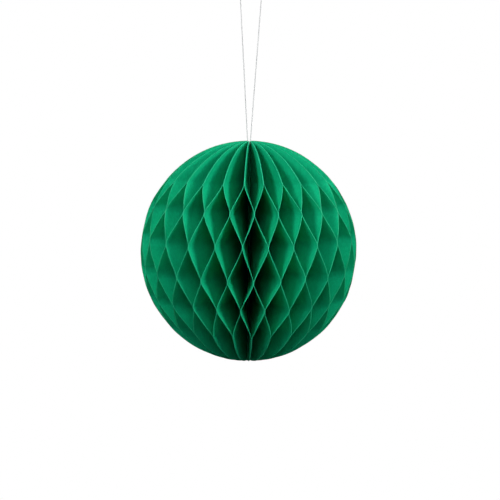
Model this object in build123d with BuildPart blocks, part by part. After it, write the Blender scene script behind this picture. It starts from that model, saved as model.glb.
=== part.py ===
from build123d import *
import os
from math import asin, cos, degrees, pi, radians, sin, sqrt, tan

os.makedirs("parts", exist_ok=True)

# A hanging paper honeycomb ball. Forty-eight half-disc tissue leaves are fanned
# all the way round one upright spine. Each leaf is glued to the leaf behind it
# along one set of level lines and to the leaf ahead along the set in between,
# so the open fan is a ring of diamond cells. The first and last leaf carry a
# stiff half-disc cover, and the two covers are taped back to back at the seam.
#
# Frame: origin where a hook bears on the inside of the hanging loop, +Z up
# along the spine, seam towards +Y, front towards -Y. Millimetres and degrees.

# ---------------------------------------------------------------- ball
ball_width = 98.0
ball_height = 100.0
cell_count = 24
leaf_count = 2 * cell_count
front_squeeze = 3.1          # how far the fan is drawn towards front and seam

# ---------------------------------------------------------------- leaves
tissue = 0.12                # one leaf with its nap and size
leaf_gap = 0.08              # clear space between two leaves on a glue line
glue_height = 1.8            # height of one glue line
glue_rows = (33.8, 21.2, 7.5, -7.1, -20.3, -33.6)
leaf_inner = 1.68            # where a leaf starts, measured from the axis
inner_wave = 0.02            # what is left of the pleats at that edge

# ---------------------------------------------------------------- spine
spine_radius = 1.6
spine_bottom = -49.95
spine_shoulder = 43.3
eye_thick = 1.0              # flat top end, pierced for the string ring
eye_width = 2.4
eye_top = 46.1
eye_hole = 1.1
eye_height = 45.0

# ---------------------------------------------------------------- covers
card = 0.30
card_inset = 1.0             # how far a cover stays inside the leaves' edge
card_setback = 4.8           # room between spine and cover, for the fold
tape = 0.08
tape_gap = 0.02              # the second cover only touches its tape
seam_clear = 0.05
tape_width = 5.0
tape_length = 22.0
tape_inset = 5.5

# ---------------------------------------------------------------- string
thread = 0.5
ring_radius = 1.1
strand_start = 47.5          # where both strands leave the knot
strand_left = -0.766
strand_right = 0.2097
lean_left = 3.36             # each strand leans outward going up
lean_right = 3.92
loop_radius = 5.06           # the loop lies over a hook about this size
loop_corners = 4
knot_width = 2.5
knot_height = 1.7

# ---------------------------------------------------------------- derived
half_width = ball_width / 2
half_height = ball_height / 2
seam_offset = tape / 2 + tape_gap + card + seam_clear + tissue / 2
leaf_pitch = tissue + leaf_gap

# centre of the loop's top bend: the circle that touches both strands
lean_l = radians(lean_left)
lean_r = radians(lean_right)
span = loop_radius / cos(lean_l) + loop_radius / cos(lean_r)
rise = (span - (strand_right - strand_left)) / (tan(lean_l) + tan(lean_r))
bend_x = strand_left - rise * tan(lean_l) + loop_radius / cos(lean_l)
bend_z = strand_start + rise
bearing = bend_z + sqrt((loop_radius - thread / 2) ** 2 - bend_x**2)
ball_z = -bearing            # height of the ball's centre in the part frame


def radial(angle):
    """Outward direction at an angle round the spine, counted from the seam."""
    return Vector(-sin(radians(angle)), cos(radians(angle)), 0)


def across(angle):
    """Level direction square to radial(), towards growing angles."""
    return Vector(-cos(radians(angle)), -sin(radians(angle)), 0)


def facing_plane(angle, distance):
    """Upright plane across a radial line: local x runs across, local y is up."""
    start = radial(angle) * distance + Vector(0, 0, ball_z)
    return Plane(origin=start, x_dir=across(angle), z_dir=radial(angle))


def leaf_plane(angle, shift=0):
    """Upright plane holding a radial line: local x runs outward, local y is up."""
    start = across(angle) * shift + Vector(0, 0, ball_z)
    return Plane(origin=start, x_dir=radial(angle), z_dir=-across(angle))


def line_angle(index):
    """Angle of a column of glue lines; index 0 and leaf_count are the seam."""
    even = index * 360 / leaf_count
    return even - front_squeeze * sin(radians(2 * even))


def root_angle(index):
    """Angle at which a leaf starts on the spine, clear of the two covers."""
    first = degrees(asin(seam_offset / leaf_inner))
    return first + index * (360 - 2 * first) / (leaf_count - 1)


def half_oval():
    """Outline of a cover: half of the ball's upright section, set back a little."""
    wide = half_width - card_inset
    tall = half_height - card_inset
    Ellipse(wide, tall)
    with Locations((card_setback, 0)):
        Rectangle(wide, 3 * tall, align=(Align.MIN, Align.CENTER), mode=Mode.INTERSECT)


def off_cut():
    """What is trimmed from a leaf: all outside the oval edge."""
    Rectangle(1.4 * half_width, 2.4 * half_height, align=(Align.MIN, Align.CENTER))
    Ellipse(half_width, half_height, mode=Mode.SUBTRACT)


def pleat(before, after, odd_first, overrun):
    """Centre line of a leaf seen from outside: (across, height), top to bottom."""
    points = []
    side = after if odd_first else before
    points.append((side, overrun))
    for row, height in enumerate(glue_rows):
        on_after = (row % 2 == 0) == odd_first
        side = after if on_after else before
        points.append((side, height + glue_height / 2))
        points.append((side, height - glue_height / 2))
    points.append((side, -overrun))
    return points


def ribbon(points):
    """Closed outline of a pleat line, one tissue thickness across."""
    left = [(x - tissue / 2, y) for x, y in points]
    right = [(x + tissue / 2, y) for x, y in reversed(points)]
    return left + right


# ================================================================ leaves
outer = half_width + 1.0
overrun = half_height + 1.0
for index in range(leaf_count):
    behind = line_angle(index)
    ahead = line_angle(index + 1)
    middle = (behind + ahead) / 2
    reach = outer * tan(radians((ahead - behind) / 2))
    off_behind = seam_offset if index == 0 else leaf_pitch / 2
    off_ahead = seam_offset if index == leaf_count - 1 else leaf_pitch / 2
    odd_first = index % 2 == 0
    fold = pleat(off_behind - reach, reach - off_ahead, odd_first, overrun)
    start = leaf_inner * tan(radians(root_angle(index) - middle))
    root = pleat(start - inner_wave, start + inner_wave, odd_first, overrun)
    with BuildPart() as leaf:
        with BuildSketch(facing_plane(middle, leaf_inner)):
            Polygon(*ribbon(root), align=None)
        with BuildSketch(facing_plane(middle, outer)):
            Polygon(*ribbon(fold), align=None)
        loft(ruled=True)
        with BuildSketch(leaf_plane(middle)):
            off_cut()
        extrude(amount=10, both=True, mode=Mode.SUBTRACT)
    leaf.part.label = f"leaf_{index + 1:02d}"
    export_step(leaf.part, f"parts/{leaf.part.label}.step")
    if index in (0, 1, 12, 24, 47):
        print(leaf.part.label, "volume", round(leaf.part.volume, 2), "solids", len(leaf.part.solids()))

# ================================================================ spine
with BuildPart() as spine_binding:
    with BuildSketch(Plane.XY.offset(ball_z + spine_bottom)):
        Circle(spine_radius)
    extrude(amount=spine_shoulder - spine_bottom)
    with BuildSketch(Plane.XY.offset(ball_z + spine_shoulder)):
        RectangleRounded(eye_thick, eye_width, radius=0.3)
    extrude(amount=eye_top - spine_shoulder)
    with BuildSketch(Plane.YZ):
        with Locations((0, ball_z + eye_height)):
            Circle(eye_hole / 2)
    extrude(amount=eye_thick, both=True, mode=Mode.SUBTRACT)
    rim = spine_binding.edges().filter_by(GeomType.CIRCLE)
    chamfer(rim.group_by(Axis.Z)[0], length=0.2)
spine_binding.part.label = "spine_binding"
export_step(spine_binding.part, "parts/spine_binding.step")

# ================================================================ covers
# cover_card_a is on the side of the first leaf, cover_card_b of the last one
card_shift = tape / 2 + card / 2
for name, shift in (("cover_card_a", card_shift), ("cover_card_b", -card_shift - tape_gap)):
    with BuildPart() as cover:
        with BuildSketch(leaf_plane(0, shift)):
            half_oval()
        extrude(amount=card / 2, both=True)
        corners = cover.edges().filter_by(Axis.X).group_by(Axis.Y)[0]
        fillet(corners, radius=1.5)
    cover.part.label = name
    export_step(cover.part, f"parts/{name}.step")
    print(name, "volume", round(cover.part.volume, 1), "corners", len(corners))

# ================================================================ tape strips
for name, height in (("tape_upper", 27.0), ("tape_middle", 0.0), ("tape_lower", -27.0)):
    edge = (half_width - card_inset) * sqrt(1 - (height / (half_height - card_inset)) ** 2)
    turn = degrees(asin(height / half_height))
    with BuildPart() as strip:
        with BuildSketch(leaf_plane(0)):
            with Locations(Location((edge - tape_inset, height), turn)):
                RectangleRounded(tape_width, tape_length, radius=0.8)
        extrude(amount=tape / 2, both=True)
    strip.part.label = name
    export_step(strip.part, f"parts/{name}.step")

# ================================================================ string
# The loop: up the left strand, round the bend in equal turns, down the right one.
turning = 180 + lean_left + lean_right
step = turning / loop_corners
apart = loop_radius / cos(radians(step / 2))
corners = []
for index in range(loop_corners):
    along = radians(180 + lean_left - (index + 0.5) * step)
    corners.append((bend_x + apart * cos(along), 0, ball_z + bend_z + apart * sin(along)))
first = (strand_left, 0, ball_z + strand_start)
last = (strand_right, 0, ball_z + strand_start)
route_points = [first] + corners + [last]
short_run = 2 * loop_radius * tan(radians(step / 2))
bend_radius = 0.45 * short_run / tan(radians(step / 2))
bend_radii = [bend_radius] * loop_corners
print("loop radii", [round(r, 2) for r in bend_radii], "thread", thread)

with BuildPart() as hang_string:
    with BuildLine() as route:
        FilletPolyline(*route_points, radius=bend_radii)
    with BuildSketch(Plane(origin=route.line @ 0, z_dir=route.line % 0)):
        Circle(thread / 2)
    sweep(path=route.line)
hang_string.part.label = "hang_string"
export_step(hang_string.part, "parts/hang_string.step")
length = route.wire().length
plain = pi * (thread / 2) ** 2 * length
print("string length", round(length, 2))
print("string volume", round(hang_string.part.volume, 3), "section x length", round(plain, 3))

ring_z = eye_height + ring_radius
with BuildPart() as string_ring:
    with BuildSketch(Plane.XY.offset(ball_z + ring_z)):
        with Locations((ring_radius, 0)):
            Circle(thread / 2)
    revolve(axis=Axis((0, 0, ball_z + ring_z), (0, 1, 0)))
string_ring.part.label = "string_ring"
export_step(string_ring.part, "parts/string_ring.step")

knot_z = ball_z + strand_start - 0.35
knot_x = (strand_left + strand_right) / 2
with BuildPart() as string_knot:
    with BuildSketch(Plane.XZ):
        with Locations((knot_x, knot_z)):
            Ellipse(knot_width / 2, knot_height / 2)
            Rectangle(4, 4, align=(Align.CENTER, Align.MIN), mode=Mode.INTERSECT)
    revolve(axis=Axis((0, 0, knot_z), (1, 0, 0)))
    add(string_ring.part, mode=Mode.SUBTRACT)
    add(hang_string.part, mode=Mode.SUBTRACT)
string_knot.part.label = "string_knot"
export_step(string_knot.part, "parts/string_knot.step")

print("ball centre z", round(ball_z, 3), "loop bend at", round(bend_x, 3), round(bend_z, 3))
print("seam offset", round(seam_offset, 3), "first root angle", round(root_angle(0), 2))
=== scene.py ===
import math

import bpy
import numpy as np
from mathutils import Matrix, Vector


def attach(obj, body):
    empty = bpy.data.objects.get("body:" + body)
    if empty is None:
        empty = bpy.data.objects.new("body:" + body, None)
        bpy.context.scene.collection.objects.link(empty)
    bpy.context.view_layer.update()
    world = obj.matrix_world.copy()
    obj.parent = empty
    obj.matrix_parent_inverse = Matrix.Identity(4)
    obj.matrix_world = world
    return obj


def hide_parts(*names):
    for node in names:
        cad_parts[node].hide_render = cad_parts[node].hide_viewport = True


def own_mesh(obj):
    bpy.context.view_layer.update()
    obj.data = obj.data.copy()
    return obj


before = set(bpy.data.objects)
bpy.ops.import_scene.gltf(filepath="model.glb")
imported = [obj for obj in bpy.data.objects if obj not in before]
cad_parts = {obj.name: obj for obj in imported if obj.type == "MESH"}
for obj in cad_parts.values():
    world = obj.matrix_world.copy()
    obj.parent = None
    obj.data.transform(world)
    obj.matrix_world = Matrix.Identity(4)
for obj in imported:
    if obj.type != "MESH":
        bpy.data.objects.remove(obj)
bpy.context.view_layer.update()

# ---------------------------------------------------------------- sizes
# millimetres from the ball's centre, and degrees round the spine from the seam at +Y
MM = 0.001
BALL_Z = -124.341
OUTER_X, OUTER_Z = 49.0, 50.0           # half width and half height of a leaf
FOLD_X = 50.0                           # where the folds' angles are measured
INNER_X = 1.68                          # where a leaf starts on the spine
GLUE_ROWS = (33.8, 21.2, 7.5, -7.1, -20.3, -33.6)
LAST_ROW = len(GLUE_ROWS) - 1
GLUE_HALF = 0.9                         # half the height of a glue line
LEAVES = 48
CELL_STEP = 360 / LEAVES
FRONT_SQUEEZE = 3.1                     # how far the fan is drawn to front and seam
OFF, SEAM_OFF = 0.10, 0.47              # a leaf's middle from a glue line, and from the seam
ROOT_FIRST = math.degrees(math.asin(SEAM_OFF / INNER_X))
TISSUE = 0.12
centre = Vector((0.0, 0.0, BALL_Z * MM))

# ---------------------------------------------------------------- camera
CAM_AZ, CAM_EL, CAM_DIST = math.radians(-2.83), math.radians(7.5), 0.6
CAM_ROLL = math.radians(0.5)
PICTURE, SENSOR = 500.0, 36.0           # pixels, and millimetres of sensor
AIM_RIGHT, AIM_UP = 1.34, 0.9           # pixels
FOCAL_PX = 1318.4
cam_data = bpy.data.cameras.new("camera")
cam_data.sensor_width = SENSOR
cam_data.lens = SENSOR * FOCAL_PX / PICTURE
cam_data.clip_start, cam_data.clip_end = 0.01, 20.0
cam = bpy.data.objects.new("camera", cam_data)
bpy.context.scene.collection.objects.link(cam)


def direction(azimuth, elevation):
    """Unit vector from the ball to a place round it, counted from the front; angles in radians."""
    level = math.cos(elevation)
    return Vector((math.sin(azimuth) * level, -math.cos(azimuth) * level, math.sin(elevation)))


back = direction(CAM_AZ, CAM_EL)
cam.rotation_mode = "QUATERNION"
look = (-back).to_track_quat("-Z", "Y")
right, up = look @ Vector((1, 0, 0)), look @ Vector((0, 1, 0))
aim = centre + (right * AIM_RIGHT + up * AIM_UP) * (CAM_DIST / FOCAL_PX)
cam.location = centre + back * CAM_DIST
look = (aim - cam.location).to_track_quat("-Z", "Y")
cam.rotation_quaternion = look @ Matrix.Rotation(CAM_ROLL, 3, "Z").to_quaternion()
bpy.context.scene.camera = cam


# ---------------------------------------------------------------- helpers
THREAD, THREAD_LAY = 0.0005, 0.0017     # diameter, and length of one turn of its plies
THREAD_PLIES, PLY_SIDES = 3, 6
PLY_SWELL = 1.12                        # plies press into each other a little


def add_mesh(name, verts, faces, materials, material_index=None, smooth=True):
    """A new object in metres; smooth is one value, or one for each face."""
    mesh = bpy.data.meshes.new(name)
    mesh.from_pydata([tuple(v) for v in verts], [], [tuple(f) for f in faces])
    for m in materials:
        mesh.materials.append(m)
    if material_index is not None:
        mesh.polygons.foreach_set("material_index", np.array(material_index, np.int32))
    flags = np.broadcast_to(smooth, len(mesh.polygons)).astype(bool)
    mesh.polygons.foreach_set("use_smooth", flags)
    mesh.update()
    obj = bpy.data.objects.new(name, mesh)
    bpy.context.scene.collection.objects.link(obj)
    return obj


def distance_along(line):
    """How far each point of a line is from its start."""
    return np.concatenate([[0], np.cumsum(np.linalg.norm(np.diff(line, axis=0), axis=1))])


def resampled(line, step):
    """The same line with points a step apart."""
    line = np.array(line, float)
    along = distance_along(line)
    at = np.linspace(0, along[-1], max(8, round(along[-1] / step)) + 1)
    return np.stack([np.interp(at, along, line[:, k]) for k in range(3)], axis=1)


def twisted(name, line, material, closed=False):
    """A thread of several plies that wind round the line, each a closed tube."""
    diameter, pitch, plies, sides = THREAD, THREAD_LAY, THREAD_PLIES, PLY_SIDES
    ply = diameter / 2 / (1 + 1 / math.sin(math.pi / plies)) * PLY_SWELL
    away = diameter / 2 - ply
    n = len(line)
    if closed:
        tangent = np.roll(line, -1, 0) - np.roll(line, 1, 0)
    else:
        tangent = np.gradient(line, axis=0)
    tangent /= np.linalg.norm(tangent, axis=1)[:, None]
    side = np.zeros_like(line)
    first = np.array((0.0, 1.0, 0.0))
    first -= tangent[0] * (first @ tangent[0])
    side[0] = first / np.linalg.norm(first)
    for i in range(1, n):
        s = side[i - 1] - tangent[i] * (side[i - 1] @ tangent[i])
        side[i] = s / np.linalg.norm(s)
    other = np.cross(tangent, side)
    along = distance_along(line)
    total = along[-1] + (np.linalg.norm(line[0] - line[-1]) if closed else 0)
    turns = max(1, round(total / pitch)) if closed else total / pitch
    verts, faces = [], []
    for p in range(plies):
        base = len(verts)
        a = 2 * math.pi * (turns * along / total + p / plies)
        mid = line + away * (np.cos(a)[:, None] * side + np.sin(a)[:, None] * other)
        for i in range(n):
            for k in range(sides):
                b = a[i] + 2 * math.pi * k / sides
                verts.append(mid[i] + ply * (math.cos(b) * side[i] + math.sin(b) * other[i]))
        for i in range(n if closed else n - 1):
            j = (i + 1) % n
            for k in range(sides):
                m = (k + 1) % sides
                faces.append((base + i * sides + k, base + i * sides + m,
                              base + j * sides + m, base + j * sides + k))
        if not closed:
            faces.append([base + k for k in reversed(range(sides))])
            faces.append([base + (n - 1) * sides + k for k in range(sides)])
    return add_mesh(name, verts, faces, [material])


# ---------------------------------------------------------------- materials
def new_material(name):
    m = bpy.data.materials.new(name)
    m.use_nodes = True
    t = m.node_tree
    t.nodes.clear()
    out = t.nodes.new("ShaderNodeOutputMaterial")
    shader = t.nodes.new("ShaderNodeBsdfPrincipled")
    t.links.new(shader.outputs[0], out.inputs[0])
    coords = t.nodes.new("ShaderNodeTexCoord")
    return m, t, out, shader, coords.outputs["Object"]


def noise(t, coords, scale, detail=2.0, stretch=(1, 1, 1), rough=0.5):
    mapping = t.nodes.new("ShaderNodeMapping")
    mapping.inputs["Scale"].default_value = stretch
    t.links.new(coords, mapping.inputs[0])
    n = t.nodes.new("ShaderNodeTexNoise")
    n.inputs["Scale"].default_value = scale
    n.inputs["Detail"].default_value = detail
    n.inputs["Roughness"].default_value = rough
    t.links.new(mapping.outputs[0], n.inputs["Vector"])
    return n.outputs["Fac"]


def ramp(t, value, stops):
    r = t.nodes.new("ShaderNodeValToRGB")
    e = r.color_ramp.elements
    while len(e) < len(stops):
        e.new(0.5)
    for k, (at, colour) in enumerate(stops):
        e[k].position = at
        e[k].color = (*colour, 1.0)
    t.links.new(value, r.inputs[0])
    return r.outputs[0]


def mix_colour(t, mode, fac, a, b):
    n = t.nodes.new("ShaderNodeMix")
    n.data_type, n.blend_type = "RGBA", mode
    for socket, value in ((n.inputs[0], fac), (n.inputs[6], a), (n.inputs[7], b)):
        if isinstance(value, bpy.types.NodeSocket):
            t.links.new(value, socket)
        elif isinstance(value, tuple):
            socket.default_value = (*value, 1.0)
        else:
            socket.default_value = value
    return n.outputs[2]


def maths(t, op, a, b):
    n = t.nodes.new("ShaderNodeMath")
    n.operation = op
    for socket, value in ((n.inputs[0], a), (n.inputs[1], b)):
        if isinstance(value, bpy.types.NodeSocket):
            t.links.new(value, socket)
        else:
            socket.default_value = value
    return n.outputs[0]


def bump(t, shader, height, distance, strength):
    b = t.nodes.new("ShaderNodeBump")
    b.inputs["Distance"].default_value = distance
    b.inputs["Strength"].default_value = strength
    t.links.new(height, b.inputs["Height"])
    t.links.new(b.outputs[0], shader.inputs["Normal"])
    return b.outputs[0]


def tissue_material(name, tones, glow):
    """Fibrous paper of a colour between two tones; glow is the share of light let through."""
    m, t, out, shader, coords = new_material(name)
    fibres = noise(t, coords, 1500.0, 3.0, (1, 1, 0.35), 0.6)
    cloud = noise(t, coords, 90.0, 2.0)
    blotch = ramp(t, cloud, [(0.30, tones[0]), (0.72, tones[1])])
    grain = ramp(t, fibres, [(0.35, (0.90, 0.90, 0.90)), (0.68, (1.06, 1.06, 1.06))])
    colour = mix_colour(t, "MULTIPLY", 1.0, blotch, grain)
    t.links.new(colour, shader.inputs["Base Color"])
    shader.inputs["Roughness"].default_value = 0.62
    shader.inputs["Specular IOR Level"].default_value = 0.04
    crumple = noise(t, coords, 260.0, 2.0, (1, 1, 0.6), 0.5)
    height = maths(t, "ADD", maths(t, "MULTIPLY", fibres, 0.25), crumple)
    normal = bump(t, shader, height, 0.0001, 0.6)
    through = t.nodes.new("ShaderNodeBsdfTranslucent")
    t.links.new(colour, through.inputs["Color"])
    t.links.new(normal, through.inputs["Normal"])
    mix = t.nodes.new("ShaderNodeMixShader")
    mix.inputs[0].default_value = glow
    t.links.new(shader.outputs[0], mix.inputs[1])
    t.links.new(through.outputs[0], mix.inputs[2])
    t.links.new(mix.outputs[0], out.inputs[0])
    return m


tissue = tissue_material("tissue_green", ((0.0035, 0.455, 0.214), (0.0065, 0.535, 0.258)), 0.36)
# the cut edge's paler tones are partly painted highlight, where the rim catches more light, and partly
# the thicker glued paper at the edge
tissue_edge_painted_highlight = tissue_material("tissue_cut_edge_painted_highlight", ((0.020, 0.540, 0.280), (0.034, 0.610, 0.325)), 0.34)


def card_material():
    m, t, out, shader, coords = new_material("card_green")
    fibres = noise(t, coords, 900.0, 4.0, (1, 1, 0.5), 0.6)
    cloud = noise(t, coords, 60.0, 2.0)
    base = ramp(t, cloud, [(0.3, (0.006, 0.300, 0.130)), (0.7, (0.009, 0.350, 0.155))])
    grain = ramp(t, fibres, [(0.3, (0.86, 0.86, 0.86)), (0.7, (1.08, 1.08, 1.08))])
    t.links.new(mix_colour(t, "MULTIPLY", 1.0, base, grain), shader.inputs["Base Color"])
    shader.inputs["Roughness"].default_value = 0.7
    shader.inputs["Specular IOR Level"].default_value = 0.3
    bump(t, shader, fibres, 0.00005, 0.7)
    return m


def plain_grained(name, dark, light, scale, rough, depth, specular=0.4, stretch=(1, 1, 1)):
    """A surface with one fine grain, between a dark and a light colour."""
    m, t, out, shader, coords = new_material(name)
    grain = noise(t, coords, scale, 3.0, stretch, 0.6)
    t.links.new(ramp(t, grain, [(0.3, dark), (0.7, light)]), shader.inputs["Base Color"])
    shader.inputs["Roughness"].default_value = rough
    shader.inputs["Specular IOR Level"].default_value = specular
    bump(t, shader, grain, depth, 0.6)
    return m


card = card_material()
tape = plain_grained("tape_milky", (0.62, 0.62, 0.56), (0.78, 0.78, 0.72), 700.0, 0.35, 0.00003)
glue = plain_grained("glue_dried", (0.006, 0.150, 0.075), (0.015, 0.250, 0.120), 800.0, 0.45, 0.0001, 0.5)
thread = plain_grained("thread_cotton", (0.40, 0.40, 0.40), (0.54, 0.54, 0.535), 5000.0,
                       0.85, 0.00003, 0.2, (1, 1, 0.3))

# ---------------------------------------------------------------- thread: loop, ring and knot


def nurbs_line(name, points, resolution, step):
    """Evenly spaced points along the smooth spline of some control points, in metres."""
    curve = bpy.data.curves.new(name, "CURVE")
    curve.dimensions = "3D"
    curve.resolution_u = resolution
    spline = curve.splines.new("NURBS")
    spline.points.add(len(points) - 1)
    for point, place in zip(spline.points, points):
        point.co = (*place, 1.0)
    spline.order_u = 3
    spline.use_endpoint_u = True
    holder = bpy.data.objects.new(name, curve)
    bpy.context.scene.collection.objects.link(holder)
    bpy.context.view_layer.update()
    mesh = bpy.data.meshes.new_from_object(holder)
    line = resampled([v.co for v in mesh.vertices], step)
    bpy.data.objects.remove(holder)
    bpy.data.meshes.remove(mesh)
    return line


route = [(-0.000766, 0, -0.076841), (-0.00493, 0, -0.005914), (-0.005106, 0, -0.0029191),
         (-0.0020922, 0, 0.0002612), (0.0022891, 0, 0.0002398), (0.0052716, 0, -0.0029698),
         (0.0050665, 0, -0.005963), (0.0002097, 0, -0.076841)]
line = nurbs_line("loop_route", route, 120, 0.00018)
loop = twisted("thread_loop", line, thread)
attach(loop, "core")
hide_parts("hang_string")

RING_Z, RING_RADIUS = 46.1, 1.1
RING_STEPS = 72
around = np.linspace(0, 2 * math.pi, RING_STEPS + 1)[:-1]
ring_line = MM * np.stack([RING_RADIUS * np.cos(around), 0 * around,
                           BALL_Z + RING_Z + RING_RADIUS * np.sin(around)], axis=1)
ring = twisted("thread_ring", ring_line, thread, closed=True)
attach(ring, "core")
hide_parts("string_ring")

# the knot: four wraps round both strands, and two short tails up the well between the leaves
KNOT_X, KNOT_Z = -0.278, 47.15
WRAPS, WRAP_RADIUS, WRAP_START = 4, 0.64, 1.1
WRAP_POINTS = 8                         # control points to a turn
KNOT_HALF = 0.78
tail_a = [(-0.98, 0.40, 2.35), (-0.96, 0.36, 1.6), (-0.98, 0.30, 0.95)]
tail_b = [(1.02, -0.30, 0.95), (1.20, -0.36, 1.5), (1.22, -0.46, 2.05)]
wrap = []
for k in range(WRAP_POINTS * WRAPS + 1):
    a = 2 * math.pi * k / WRAP_POINTS + WRAP_START
    shift = -KNOT_HALF + 2 * KNOT_HALF * k / (WRAP_POINTS * WRAPS)
    wrap.append((shift, WRAP_RADIUS * math.cos(a), WRAP_RADIUS * math.sin(a)))
knot_points = [((x + KNOT_X) * MM, y * MM, (z + BALL_Z + KNOT_Z) * MM)
               for x, y, z in tail_a + wrap + tail_b]
knot = twisted("thread_knot", nurbs_line("knot_route", knot_points, 12, 0.00014), thread)
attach(knot, "core")
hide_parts("string_knot")

# ---------------------------------------------------------------- leaves
rng = np.random.default_rng(4127)
ROWS = len(GLUE_ROWS)
line_jitter = rng.uniform(-0.35, 0.35, (LEAVES + 1, ROWS))      # degrees
row_jitter = rng.uniform(-0.30, 0.30, (LEAVES + 1, ROWS))       # millimetres
# how far the glued spots that the photograph shows are from the even net:
# {(column, row): (degrees, millimetres)}
SEEN_SPOTS = {
    (15, 2): (-0.80, -0.37), (17, 2): (-0.43, -0.26), (19, 0): (-0.50, -0.30), (19, 2): (-0.19, -0.42),
    (20, 1): (-0.63, 0.00), (20, 3): (0.01, -0.31), (21, 0): (0.13, 0.04), (21, 2): (0.50, 0.12),
    (21, 4): (0.22, 0.24), (22, 1): (0.25, 0.11), (22, 3): (0.19, -0.13), (22, 5): (0.49, 0.60),
    (23, 0): (0.61, -0.20), (23, 2): (0.79, 0.11), (23, 4): (-0.26, -0.04), (24, 1): (0.17, 0.26),
    (24, 3): (-0.18, -0.43), (24, 5): (-0.24, -0.75), (25, 0): (0.16, 0.19), (25, 2): (0.32, -0.17),
    (25, 4): (-0.49, -0.03), (26, 1): (-0.05, -0.18), (26, 3): (0.05, -0.02), (26, 5): (-0.86, 0.17),
    (27, 0): (-0.34, 0.20), (27, 2): (-0.08, -0.19), (27, 4): (0.00, -0.51), (28, 1): (0.14, -0.08),
    (28, 3): (-0.19, 0.62), (29, 0): (-0.45, -0.03), (29, 2): (-0.16, 0.11), (31, 2): (0.01, 0.39),
    (33, 2): (0.80, 0.47),
}
for (column, row), (turn, lift) in SEEN_SPOTS.items():
    line_jitter[column, row], row_jitter[column, row] = turn, lift
line_jitter[0] = line_jitter[-1] = 0
line_jitter = np.radians(line_jitter)
BEND = 0.15                             # how much the zigzag rounds off at the glue rows
COLUMNS = np.array((0, .08, .17, .27, .37, .47, .56, .64, .71, .77, .82, .87, .915, .955, 1.0))
EDGE_MM = 0.35                          # width of the paler strip at the cut edge; its paler colour is partly painted highlight, partly the edge's thicker glued paper
EDGE_THICK, EDGE_THICK_GLUED = 0.20, 0.17
TIP_Z = 49.92                           # where the leaf's grid ends, above and below
TIP_STEPS, FREE_STEPS = 17, 12          # rows beyond the outer glue lines, and between two
SLIM = 30.0                             # bow and shift fade where the leaf is narrower than this


def line_angle(m):
    """Angle of a column of glue lines; 0 and LEAVES are the seam."""
    even = math.radians(CELL_STEP * m)
    return even - math.radians(FRONT_SQUEEZE) * math.sin(2 * even)


def root_angle(i):
    """Angle in degrees at which a leaf starts on the spine."""
    return ROOT_FIRST + i * (360 - 2 * ROOT_FIRST) / (LEAVES - 1)


def radial(angle):
    return np.array((-math.sin(angle), math.cos(angle), 0.0))


def across(angle):
    return np.array((-math.cos(angle), -math.sin(angle), 0.0))


def leaf_rows(i):
    """A leaf's middle angle, and its grid's rows from top to bottom.

    A row is its height, how far it is to the side at FOLD_X, how free of glue it is,
    from 0 to 1, and the glue row above it."""
    behind, ahead = line_angle(i), line_angle(i + 1)
    middle = (behind + ahead) / 2
    folds = []
    for k, z in enumerate(GLUE_ROWS):
        on_after = (k % 2 == 0) == (i % 2 == 0)
        m = i + 1 if on_after else i
        off = SEAM_OFF if m in (0, LEAVES) else OFF
        angle = line_angle(m) + line_jitter[m, k] - middle
        lateral = FOLD_X * math.tan(angle) + (-off if on_after else off)
        folds.append((z + row_jitter[m, k], lateral))
    rows = []
    first = folds[0][0] + GLUE_HALF
    a0, a1 = math.asin(TIP_Z / OUTER_Z), math.asin(first / OUTER_Z)
    for s in np.linspace(0, 1, TIP_STEPS + 1)[:-1]:
        rows.append((OUTER_Z * math.sin(a0 + (a1 - a0) * s), folds[0][1], 0.0, 0))
    for k, (z, lateral) in enumerate(folds):
        for d in (GLUE_HALF, 0.0, -GLUE_HALF):
            rows.append((z + d, lateral, 0.0, k))
        if k < LAST_ROW:
            z2, lateral2 = folds[k + 1]
            a, b = z - GLUE_HALF, z2 + GLUE_HALF
            for j in range(1, FREE_STEPS):
                s = j / FREE_STEPS
                w = (1 - BEND) * s + BEND * s * s * (3 - 2 * s)
                free = math.sin(math.pi * s) ** 2
                rows.append((a + (b - a) * s, lateral + (lateral2 - lateral) * w, free, k))
    last = folds[-1][0] - GLUE_HALF
    a0, a1 = math.asin(last / OUTER_Z), math.asin(-TIP_Z / OUTER_Z)
    for s in np.linspace(0, 1, TIP_STEPS + 1)[1:]:
        rows.append((OUTER_Z * math.sin(a0 + (a1 - a0) * s), folds[-1][1], 0.0, LAST_ROW))
    return middle, rows


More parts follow.
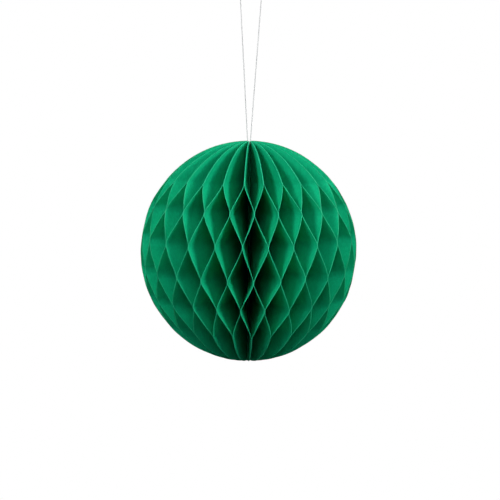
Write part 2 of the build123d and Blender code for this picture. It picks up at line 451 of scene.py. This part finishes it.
def make_leaf(i):
    """One leaf: a closed pleated sheet from the spine to its cut edge."""
    middle, rows = leaf_rows(i)
    start = INNER_X * math.tan(math.radians(root_angle(i)) - middle)
    bow = rng.uniform(-0.35, 0.35, ROWS)
    edge_bow = rng.uniform(-0.12, 0.12, ROWS)
    shift_x, shift_z = rng.uniform(-0.12, 0.06), rng.uniform(-0.08, 0.08)
    ripple = rng.uniform(0, 2 * math.pi, 4)
    out, side = radial(middle), across(middle)
    n, c = len(rows), len(COLUMNS) + 1
    grid = np.zeros((n, c, 3))
    thick = np.zeros((n, c))
    for r, (z, lateral, free, k) in enumerate(rows):
        rim = OUTER_X * math.sqrt(max(0.0, 1 - (z / OUTER_Z) ** 2))
        wavy = 0.05 * math.sin(z / 3.1 + ripple[0])
        wavier = 0.04 * math.sin(z / 1.3 + ripple[1])
        rim += (shift_x + wavy + wavier) * min(1, rim / 12)
        edge = min(EDGE_MM, 0.2 * (rim - INNER_X))
        xs = list(INNER_X + (rim - edge - INNER_X) * COLUMNS) + [rim]
        for q, x in enumerate(xs):
            s = (x - INNER_X) / (FOLD_X - INNER_X)
            depth = max(0.0, min(1.0, (x - INNER_X) / (rim - INNER_X)))
            aside = start + (lateral - start) * s
            aside += bow[k] * free * math.sin(math.pi * depth) * min(1, rim / SLIM)
            aside += edge_bow[k] * free * depth ** 3
            height = z + shift_z * min(1, rim / SLIM)
            grid[r, q] = out * x + side * aside + np.array((0, 0, height))
            thick[r, q] = TISSUE
        thick[r, -1] = EDGE_THICK_GLUED + (EDGE_THICK - EDGE_THICK_GLUED) * free
    dr, dc = np.gradient(grid, axis=0), np.gradient(grid, axis=1)
    normal = np.cross(dr, dc)
    normal /= np.linalg.norm(normal, axis=2)[:, :, None]
    verts = np.concatenate([(grid + normal * thick[:, :, None] / 2).reshape(-1, 3),
                            (grid - normal * thick[:, :, None] / 2).reshape(-1, 3)])
    verts[:, 2] += BALL_Z
    half = n * c
    faces, index = [], []
    for r in range(n - 1):
        for q in range(c - 1):
            a, b, d, e = r * c + q, r * c + q + 1, (r + 1) * c + q + 1, (r + 1) * c + q
            faces += [(a, b, d, e), (half + a, half + e, half + d, half + b)]
            # the last strip by the cut edge takes the paler edge material, partly painted highlight
            index += [1 if q == c - 2 else 0] * 2
    rim_loop = [r * c + c - 1 for r in range(n)]
    rim_loop += [(n - 1) * c + q for q in reversed(range(c - 1))]
    rim_loop += [r * c for r in reversed(range(n - 1))] + list(range(1, c - 1))
    # the cut edge's own faces take the paler edge material too, partly painted highlight
    for a, b in zip(rim_loop, rim_loop[1:] + rim_loop[:1]):
        faces.append((a, b, half + b, half + a))
        index.append(1)
    # a cut edge is crisp
    smooth = [True] * (len(faces) - len(rim_loop)) + [False] * len(rim_loop)
    leaf = add_mesh(f"tissue_leaf_{i + 1:02d}", verts * MM, faces, [tissue, tissue_edge_painted_highlight],
                    index, smooth)
    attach(leaf, f"leaf_{i + 1:02d}_body")
    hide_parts(f"leaf_{i + 1:02d}")
    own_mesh(leaf)


for i in range(LEAVES):
    make_leaf(i)

# ---------------------------------------------------------------- the bound edge
ROOTS = [root_angle(i) for i in range(LEAVES)]
RIB, RIB_FOOT = 0.75, 3.2               # half width of a rib's crest, and of its foot, in degrees
RIB_DEPTH, SHEATH = 0.055, 1.61         # millimetres
SHEATH_TOP, DROP_TIP = 43.25, -50.80
# the rounded drop at the bottom: height, and share of the sheath's radius
DROP = [(-50.0, 1.0), (-50.35, 0.93), (-50.62, 0.72), (-50.76, 0.40)]


def make_root_ribs():
    """Dried glue round the spine, with a rib at each leaf's root and a drop at the bottom."""
    turns = [r + d for r in ROOTS for d in (-RIB_FOOT, -RIB, 0.0, RIB, RIB_FOOT)]
    turns = np.array(sorted(turns + [-8, -4, 0, 4, 8]))
    crest = []
    for t in turns:
        nearest = min(abs((t - r + 180) % 360 - 180) for r in ROOTS)
        crest.append(max(0.0, 1 - nearest / (1.6 * RIB)))
    levels = [(SHEATH_TOP, 1.0)] + [(z, 1.0) for z in np.linspace(42.5, -49.4, 56)] + DROP
    verts, faces = [], []
    for z, grow in levels:
        swell = 0.03 * math.sin(z * 0.9) * math.sin(z * 0.23 + 1)
        for t, c in zip(turns, crest):
            r = grow * (SHEATH + RIB_DEPTH * c * min(1, grow) + swell * (1 - c) * 0.5)
            p = radial(math.radians(t)) * r
            verts.append((p[0], p[1], z + BALL_Z))
    n = len(turns)
    for k in range(len(levels) - 1):
        for i in range(n):
            j = (i + 1) % n
            faces.append((k * n + i, (k + 1) * n + i, (k + 1) * n + j, k * n + j))
    for at, ring, flip in ((SHEATH_TOP, 0, False), (DROP_TIP, (len(levels) - 1) * n, True)):
        tip = len(verts)
        verts.append((0.0, 0.0, at + BALL_Z))
        for i in range(n):
            j = (i + 1) % n
            faces.append((tip, ring + j, ring + i) if flip else (tip, ring + i, ring + j))
    ribs = add_mesh("spine_root_ribs", np.array(verts) * MM, faces, [glue])
    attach(ribs, "core")


make_root_ribs()

# ---------------------------------------------------------------- the other parts
for name, material in (("cover_card_a", card), ("cover_card_b", card),
                       ("tape_upper", tape), ("tape_middle", tape), ("tape_lower", tape),
                       ("spine_binding", glue)):
    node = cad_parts[name]
    node.data.materials.clear()
    node.data.materials.append(material)

# ---------------------------------------------------------------- room and light
AMBIENT = 0.18
FLOOR_Z, FLOOR_HALF, FLOOR_GREY = -0.8, 6, 0.15
LIGHT_DISTANCE = 1.2


def stage_material():
    """White to the camera, and a dim matte floor to every other ray."""
    m = bpy.data.materials.new("floor_white")
    m.use_nodes = True
    t = m.node_tree
    t.nodes.clear()
    out = t.nodes.new("ShaderNodeOutputMaterial")
    mix = t.nodes.new("ShaderNodeMixShader")
    path = t.nodes.new("ShaderNodeLightPath")
    matte = t.nodes.new("ShaderNodeBsdfDiffuse")
    matte.inputs[0].default_value = (FLOOR_GREY, FLOOR_GREY, FLOOR_GREY, 1)
    white = t.nodes.new("ShaderNodeEmission")
    t.links.new(path.outputs["Is Camera Ray"], mix.inputs[0])
    t.links.new(matte.outputs[0], mix.inputs[1])
    t.links.new(white.outputs[0], mix.inputs[2])
    t.links.new(mix.outputs[0], out.inputs[0])
    return m


floor_corners = [(x * FLOOR_HALF, y * FLOOR_HALF, FLOOR_Z)
                 for x, y in ((-1, -1), (1, -1), (1, 1), (-1, 1))]
floor = add_mesh("floor", floor_corners, [(0, 1, 2, 3)], [stage_material()], smooth=False)

world = bpy.data.worlds.new("world")
bpy.context.scene.world = world
world.use_nodes = True
wt = world.node_tree
wt.nodes.clear()
w_out = wt.nodes.new("ShaderNodeOutputWorld")
w_mix = wt.nodes.new("ShaderNodeMixShader")
w_path = wt.nodes.new("ShaderNodeLightPath")
w_soft = wt.nodes.new("ShaderNodeBackground")
w_white = wt.nodes.new("ShaderNodeBackground")
w_soft.inputs[1].default_value = AMBIENT
w_white.inputs[1].default_value = 1.0
w_soft.inputs[0].default_value = (0.85, 1.0, 1.25, 1)
w_white.inputs[0].default_value = (1, 1, 1, 1)
wt.links.new(w_path.outputs["Is Camera Ray"], w_mix.inputs[0])
wt.links.new(w_soft.outputs[0], w_mix.inputs[1])
wt.links.new(w_white.outputs[0], w_mix.inputs[2])
wt.links.new(w_mix.outputs[0], w_out.inputs[0])


def softbox(name, azimuth, elevation, size, power):
    """A square soft light that faces the ball; size in metres, power in watts."""
    data = bpy.data.lights.new(name, "AREA")
    data.shape, data.size, data.energy = "SQUARE", size, power
    obj = bpy.data.objects.new(name, data)
    bpy.context.scene.collection.objects.link(obj)
    obj.location = centre + direction(math.radians(azimuth), math.radians(elevation)) * LIGHT_DISTANCE
    obj.rotation_mode = "QUATERNION"
    obj.rotation_quaternion = (centre - obj.location).to_track_quat("-Z", "Y")
    obj.visible_camera = False


for name, azimuth, elevation, size, power in (
        ("left_high", -50, 35, 0.32, 7.2), ("left_low", -36, 16, 0.32, 3.3),
        ("right_high", 50, 36, 0.32, 3.2), ("right_low", 46, 17, 0.32, 9.6),
        ("front_high", 0, 30, 0.6, 4.6), ("front_low", 0, -30, 0.5, 0.1), ("overhead", 0, 89, 0.6, 1.4),
        ("back_left", -125, 20, 0.5, 12.0), ("back_right", 125, 20, 0.5, 12.0)):
    softbox(name, azimuth, elevation, size, power)

bpy.context.scene.view_settings.view_transform = "Standard"
bpy.context.scene.view_settings.look = "None"
